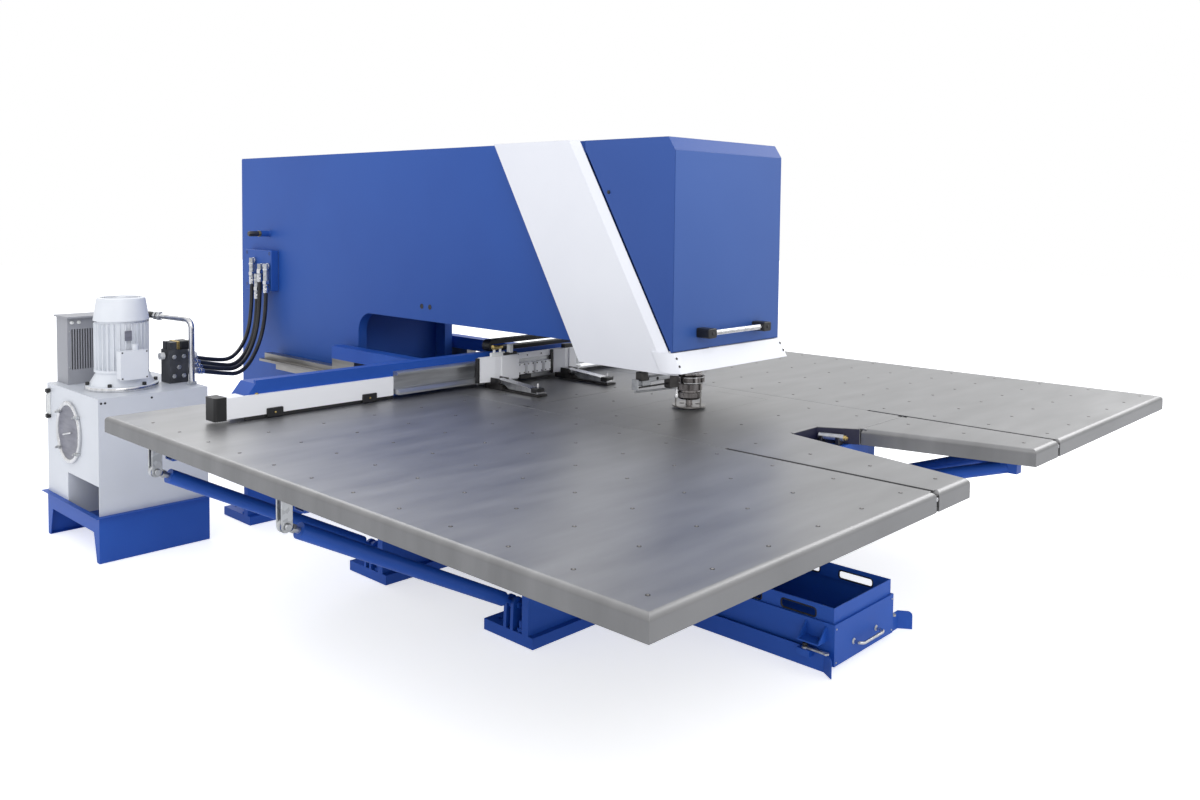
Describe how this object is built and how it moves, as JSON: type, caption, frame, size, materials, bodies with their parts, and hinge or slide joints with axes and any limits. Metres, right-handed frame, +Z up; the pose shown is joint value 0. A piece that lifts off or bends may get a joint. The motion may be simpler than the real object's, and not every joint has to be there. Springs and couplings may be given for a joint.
{
  "type": "cnc turret punch press",
  "caption": "C-frame hydraulic punch press with a steel sheet table, X-Y clamp beam, lifting head hood, scrap drawer and a separate hydraulic power unit joined by free hoses.",
  "frame": {"origin": "centre of the outline at floor level", "axes": "+Z up, -Y the operator's side, +Y back along the C frame, +X the operator's right"},
  "size_m": [4.2, 5.284, 2.215],
  "materials": {
    "frame_blue": "satin",
    "base_blue": "satin",
    "door_blue": "satin",
    "table_steel": "brushed",
    "tool_steel": "machined",
    "galvanised": "galvanised",
    "white_paint": "semi-gloss",
    "tank_grey": "semi-gloss",
    "motor_grey": "semi-gloss",
    "black_plastic": "matte",
    "white_plastic": "gloss",
    "aluminium_profile": "anodised",
    "rail_steel": "ground",
    "hose_rubber": "matte",
    "cooler_white": "semi-gloss"
  },
  "bodies": {
    "frame": {"frame_plate_left": "frame_blue", "frame_plate_right": "frame_blue", "frame_web_box": "frame_blue", "lower_jaw": "base_blue", "floor_feet": "base_blue", "side_table_left": "table_steel", "side_table_right": "table_steel", "centre_table": "table_steel", "right_arm": "table_steel", "rear_table": "table_steel", "die_insert_plate": "table_steel", "cross_rails": "base_blue", "strut_mounts": "galvanised", "table_struts": "base_blue", "head_bands": "white_paint", "head_skirt": "white_paint", "hood_hinges": "galvanised", "ram_cylinder": "tool_steel", "tool_arm": "galvanised", "guide_rails": "rail_steel", "drawer_runners": "base_blue", "tank_tray": "base_blue", "oil_tank": "tank_grey", "cleaning_cover": "tank_grey", "pump_bell": "motor_grey", "motor_body": "motor_grey", "motor_cowl": "motor_grey", "terminal_box": "motor_grey", "oil_cooler": "cooler_white", "return_pipe": "galvanised", "valve_block": "galvanised", "hose_fittings": "galvanised", "hose_1": "hose_rubber", "hose_2": "hose_rubber", "hose_3": "hose_rubber", "hose_4": "hose_rubber"},
    "hood": {"head_hood": "door_blue", "hood_handle": "galvanised"},
    "indexer": {"index_ring": "tool_steel", "stripper_ring": "tool_steel"},
    "punch": {"punch_ram": "tool_steel", "tool_body": "tool_steel"},
    "die": {"die_holder": "tool_steel"},
    "beam": {"beam_box": "frame_blue", "slide_blocks": "rail_steel", "beam_covers": "white_paint", "beam_end_caps": "black_plastic", "beam_profile": "aluminium_profile", "cable_chain": "black_plastic"},
    "carriage": {"carriage_plate": "rail_steel", "carriage_boxes": "white_paint", "clamp_bodies": "tool_steel"},
    "jaws": {"clamp_jaws": "tool_steel"},
    "drawer": {"scrap_bin": "base_blue", "bin_handle": "galvanised"},
    "latch_left": {"drawer_latch_left": "galvanised"},
    "latch_right": {"drawer_latch_right": "galvanised"},
    "fan": {"motor_fan": "black_plastic"},
    "knob": {"relief_knob": "white_plastic"}
  },
  "joints": [
    {"name": "beam_slide", "type": "slide", "parent": "frame", "child": "beam", "axis": [0, 1, 0], "range_m": [-0.45, 0.8]},
    {"name": "carriage_slide", "type": "slide", "parent": "beam", "child": "carriage", "axis": [1, 0, 0], "range_m": [-0.5, 0.6]},
    {"name": "clamp_open", "type": "hinge", "parent": "carriage", "child": "jaws", "pos_m": [0, -0.082, 0.974], "axis": [-1, 0, 0], "range_deg": [0, 8]},
    {"name": "tool_index", "type": "hinge", "parent": "frame", "child": "indexer", "pos_m": [0, -1.097, 0.93], "axis": [0, 0, 1], "continuous": true},
    {"name": "punch_stroke", "type": "slide", "parent": "indexer", "child": "punch", "axis": [0, 0, -1], "range_m": [0, 0.028]},
    {"name": "die_index", "type": "hinge", "parent": "frame", "child": "die", "pos_m": [0, -1.097, 0.83], "axis": [0, 0, 1], "continuous": true},
    {"name": "hood_lift", "type": "hinge", "parent": "frame", "child": "hood", "pos_m": [0, -0.77, 2.203], "axis": [-1, 0, 0], "range_deg": [0, 65]},
    {"name": "drawer_slide", "type": "slide", "parent": "frame", "child": "drawer", "axis": [0, -1, 0], "range_m": [0, 0.7]},
    {"name": "latch_left_swing", "type": "hinge", "parent": "frame", "child": "latch_left", "pos_m": [-0.286, -1.952, 0.088], "axis": [0, 0, -1], "range_deg": [0, 90]},
    {"name": "latch_right_swing", "type": "hinge", "parent": "frame", "child": "latch_right", "pos_m": [0.286, -1.952, 0.088], "axis": [0, 0, 1], "range_deg": [0, 90]},
    {"name": "fan_spin", "type": "hinge", "parent": "frame", "child": "fan", "pos_m": [-1.6, 1.648, 1.31], "axis": [0, 0, 1], "continuous": true},
    {"name": "knob_turn", "type": "hinge", "parent": "frame", "child": "knob", "pos_m": [-1.386, 1.628, 1.025], "axis": [-1, 0, 0], "range_deg": [0, 300]}
  ],
  "couplings": [
    {"joint": "die_index", "follows": "tool_index", "ratio": 1}
  ]
}
